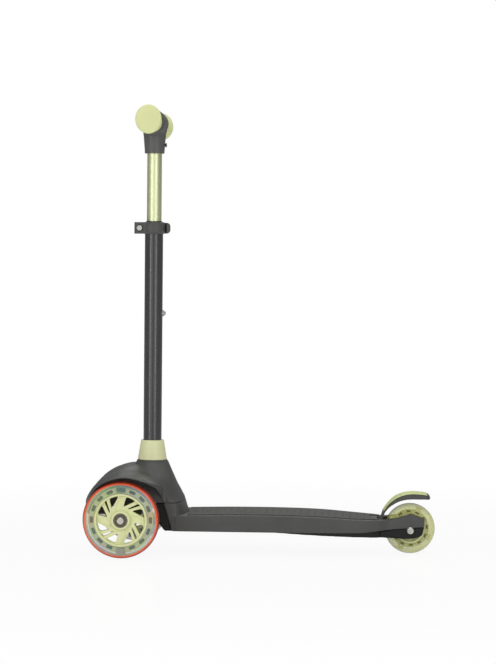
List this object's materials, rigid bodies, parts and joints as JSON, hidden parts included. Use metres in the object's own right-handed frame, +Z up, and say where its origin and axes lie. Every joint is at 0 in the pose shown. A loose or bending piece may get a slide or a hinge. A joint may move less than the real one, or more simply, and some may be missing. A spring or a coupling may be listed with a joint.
{
  "type": "three wheel kids scooter",
  "caption": "Lean-to-steer children's scooter with a hooded front axle, a low grip deck, a height-adjustable handlebar and a foot brake over the rear wheel.",
  "frame": {"origin": "on the ground, halfway along the scooter and midway between its sides", "axes": "+X towards the rear wheel, +Y towards the rider's right, +Z up"},
  "size_m": [0.5566, 0.2526, 0.7051],
  "materials": {
    "grey_plastic": "fine grained, moulded",
    "black_plastic": "moulded",
    "lime_plastic": "smooth, pale lime",
    "lime_rubber": "soft, pale lime",
    "lime_metal": "anodised lime, glossy",
    "dark_tube": "satin dark grey paint",
    "bright_metal": "bright plated",
    "steel": "zinc plated",
    "sleeve_metal": "wound coil over a magnet",
    "clear_tyre": "translucent cast polyurethane",
    "mat_rubber": "rough anti-slip",
    "dark_rubber": "plain",
    "light_lens": "clear light capsule"
  },
  "bodies": {
    "deck_and_stem": {"deck_shell": "grey_plastic", "grip_mat": "mat_rubber", "chassis": "black_plastic", "front_hood": "grey_plastic", "stem_collar": "lime_plastic", "lower_tube": "dark_tube", "tube_bush": "black_plastic", "stem_plug": "steel", "stem_bolt": "steel", "catch_ring": "steel", "clamp_band": "grey_plastic", "clamp_rod": "bright_metal", "clamp_nut": "bright_metal", "lever_pin": "steel", "kingpin": "steel", "kingpin_nut": "steel", "return_rubber_left": "dark_rubber", "return_rubber_right": "dark_rubber", "brake_pin": "steel", "brake_spring": "steel", "rear_axle_bolt": "bright_metal", "rear_axle_nut": "steel", "rear_magnet_sleeve": "sleeve_metal"},
    "steering": {"steering_beam": "black_plastic", "kingpin_bush": "dark_rubber", "front_left_axle_bolt": "bright_metal", "front_right_axle_bolt": "bright_metal", "front_left_magnet_sleeve": "sleeve_metal", "front_right_magnet_sleeve": "sleeve_metal"},
    "front_left_wheel": {"front_left_tyre": "clear_tyre", "front_left_hub": "lime_plastic", "front_left_bearing_outer": "steel", "front_left_bearing_inner": "steel", "front_left_light_1": "light_lens", "front_left_light_2": "light_lens"},
    "front_right_wheel": {"front_right_tyre": "clear_tyre", "front_right_hub": "lime_plastic", "front_right_bearing_outer": "steel", "front_right_bearing_inner": "steel", "front_right_light_1": "light_lens", "front_right_light_2": "light_lens"},
    "rear_wheel": {"rear_tyre": "clear_tyre", "rear_hub": "lime_plastic", "rear_bearing_outer": "steel", "rear_bearing_inner": "steel", "rear_light_1": "light_lens", "rear_light_2": "light_lens", "rear_light_3": "light_lens", "rear_light_4": "light_lens"},
    "handlebar": {"upper_tube": "lime_metal", "t_handle": "grey_plastic", "t_handle_screw": "steel", "handlebar_core": "steel", "grip_left": "lime_rubber", "grip_right": "lime_rubber"},
    "height_button": {"height_catch": "steel"},
    "lever": {"clamp_lever": "grey_plastic"},
    "brake": {"brake_fender": "grey_plastic", "brake_cover": "lime_plastic"}
  },
  "joints": [
    {"name": "lean_steering", "type": "hinge", "parent": "deck_and_stem", "child": "steering", "pos_m": [-0.2145, 0, 0.06], "axis": [-0.6428, 0, 0.766], "range_deg": [-4.5, 4.5], "stiffness_Nm_per_rad": 80, "deforming": ["return_rubber_left", "return_rubber_right"]},
    {"name": "front_left_spin", "type": "hinge", "parent": "steering", "child": "front_left_wheel", "pos_m": [-0.2145, -0.106, 0.06], "axis": [0, 1, 0], "continuous": true},
    {"name": "front_right_spin", "type": "hinge", "parent": "steering", "child": "front_right_wheel", "pos_m": [-0.2145, 0.106, 0.06], "axis": [0, 1, 0], "continuous": true},
    {"name": "rear_spin", "type": "hinge", "parent": "deck_and_stem", "child": "rear_wheel", "pos_m": [0.2385, 0, 0.04], "axis": [0, 1, 0], "continuous": true},
    {"name": "handlebar_height", "type": "slide", "parent": "deck_and_stem", "child": "handlebar", "axis": [0, 0, 1], "range_m": [-0.1, 0.04]},
    {"name": "height_button_press", "type": "slide", "parent": "deck_and_stem", "child": "height_button", "axis": [-1, 0, 0], "range_m": [0, 0.0034], "stiffness_N_per_m": 400, "springref_m": -0.002},
    {"name": "clamp_lever_swing", "type": "hinge", "parent": "deck_and_stem", "child": "lever", "pos_m": [-0.1971, 0.0215, 0.51535], "axis": [0, 0, 1], "range_deg": [0, 110]},
    {"name": "brake_press", "type": "hinge", "parent": "deck_and_stem", "child": "brake", "pos_m": [0.1925, 0, 0.0505], "axis": [0, 1, 0], "range_deg": [0, 8.5], "stiffness_Nm_per_rad": 6, "springref_deg": -2.86}
  ]
}
